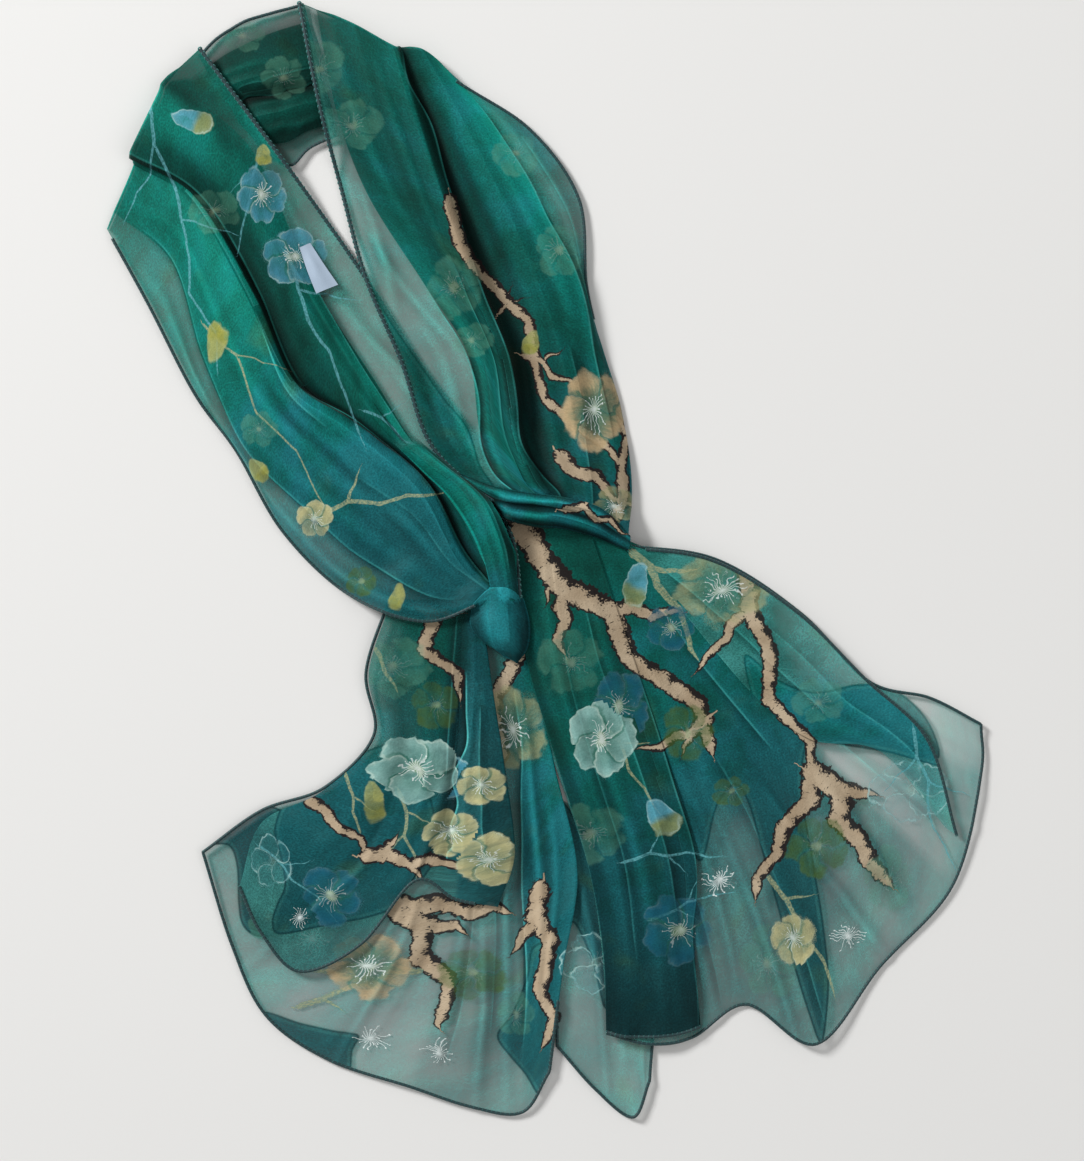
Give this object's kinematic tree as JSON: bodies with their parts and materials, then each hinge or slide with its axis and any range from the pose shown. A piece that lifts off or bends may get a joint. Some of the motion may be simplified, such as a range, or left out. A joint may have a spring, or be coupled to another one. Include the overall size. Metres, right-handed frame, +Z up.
{
  "type": "chiffon scarf",
  "caption": "Long sheer rectangular scarf with rolled hems, looped round an absent neck, tied once at the front and laid flat with both tails fanned.",
  "frame": {"origin": "below the middle of the scarf's box, on the surface that it lies on", "axes": "+Y from the tails towards the neck, +Z up from the surface, +X to the viewer's right with the neck at the top"},
  "size_m": [0.5681, 0.722, 0.0289],
  "materials": {
    "chiffon_emerald": "sheer printed chiffon",
    "chiffon_deep_green": "sheer printed chiffon",
    "chiffon_teal": "sheer printed chiffon",
    "chiffon_blue": "sheer printed chiffon",
    "hem_thread": "rolled and overcast",
    "label_tape": "woven tape, bare"
  },
  "bodies": {
    "root": {"neck_back": "chiffon_deep_green", "left_arm": "chiffon_emerald", "right_arm": "chiffon_deep_green", "knot_band": "chiffon_deep_green", "knot_turn": "chiffon_emerald", "knot_wrap": "chiffon_blue", "left_tail": "chiffon_teal", "left_flap": "chiffon_teal", "left_lobe": "chiffon_teal", "right_tail": "chiffon_teal", "right_column": "chiffon_deep_green", "right_leaf": "chiffon_emerald", "care_label": "label_tape"}
  },
  "joints": []
}
